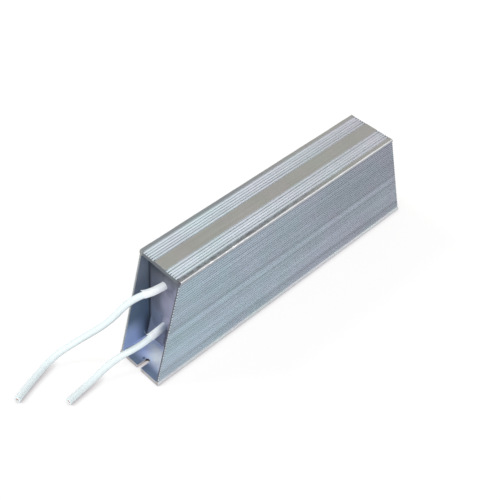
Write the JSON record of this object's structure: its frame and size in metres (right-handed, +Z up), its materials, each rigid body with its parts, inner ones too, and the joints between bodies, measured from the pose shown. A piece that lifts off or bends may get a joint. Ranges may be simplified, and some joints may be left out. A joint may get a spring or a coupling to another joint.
{
  "type": "braking resistor",
  "caption": "Aluminium-housed wirewound braking resistor: tall ribbed box section with slanted ends, an open mounting slot in the base at each end and white leads from one end.",
  "frame": {"origin": "middle of the housing's base, on the surface that it stands on", "axes": "+X along the housing away from the leads, +Y across it, +Z up from the base"},
  "size_m": [0.413, 0.0824, 0.107],
  "materials": {
    "anodised_aluminium": "matt natural anodised, extruded",
    "end_board": "matt fired board",
    "sealing_cement": "matt set cement",
    "mica": "pressed mica sheet",
    "quartz_filling": "set quartz sand",
    "core_ceramic": "unglazed",
    "resistance_wire": "oxidised alloy wire",
    "terminal_metal": "nickel plated",
    "copper": "bare copper",
    "lead_sleeve": "coated glass-fibre sleeve",
    "lead_insulation": "matt silicone"
  },
  "bodies": {
    "root": {"housing": "anodised_aluminium", "near_end_board": "end_board", "far_end_board": "end_board", "near_end_seal": "sealing_cement", "far_end_seal": "sealing_cement", "near_core_support": "mica", "far_core_support": "mica", "far_link": "terminal_metal", "filler": "quartz_filling", "top_liner": "mica", "base_liner": "mica", "left_liner": "mica", "right_liner": "mica", "upper_core": "core_ceramic", "upper_winding": "resistance_wire", "upper_near_terminal": "terminal_metal", "upper_far_terminal": "terminal_metal", "upper_crimp": "terminal_metal", "upper_lead_core": "copper", "upper_sleeve": "lead_sleeve", "upper_lead": "lead_insulation", "lower_core": "core_ceramic", "lower_winding": "resistance_wire", "lower_near_terminal": "terminal_metal", "lower_far_terminal": "terminal_metal", "lower_crimp": "terminal_metal", "lower_lead_core": "copper", "lower_sleeve": "lead_sleeve", "lower_lead": "lead_insulation"}
  },
  "joints": []
}
